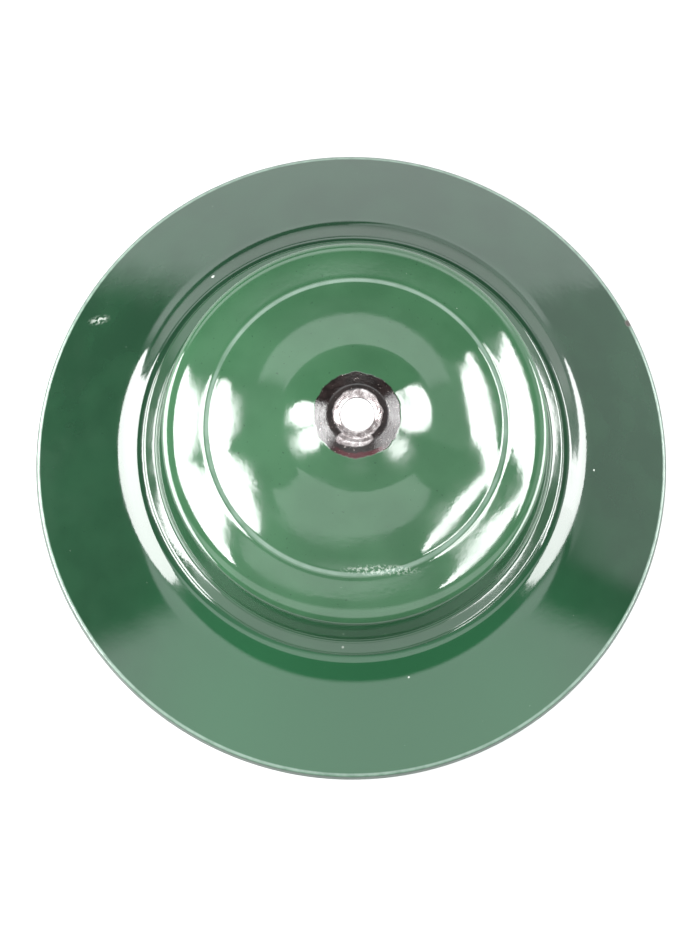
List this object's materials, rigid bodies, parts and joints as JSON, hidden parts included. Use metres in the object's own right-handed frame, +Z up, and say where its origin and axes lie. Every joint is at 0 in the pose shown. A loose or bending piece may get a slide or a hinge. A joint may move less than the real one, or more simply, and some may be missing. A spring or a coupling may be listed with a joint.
{
  "type": "lantern ventilator",
  "caption": "Round enamelled ventilator hood of a mantle lantern: wide conical brim, stepped domed crown with a central stud hole, and a windowed collar that seats the glass globe.",
  "frame": {"origin": "centre of the circle that the rim of the brim stands on", "axes": "+Z up along the axis of the stud hole, from the rim to the crown; X and Y are equal, because the piece is round"},
  "size_m": [0.248, 0.248, 0.071],
  "materials": {
    "enamel_crown": "high gloss vitreous enamel, worn bare round the stud hole",
    "enamel_brim": "high gloss vitreous enamel",
    "enamel_collar": "vitreous enamel dulled by heat and soot"
  },
  "bodies": {
    "root": {"crown_cap": "enamel_crown", "brim": "enamel_brim", "vent_collar": "enamel_collar"}
  },
  "joints": []
}
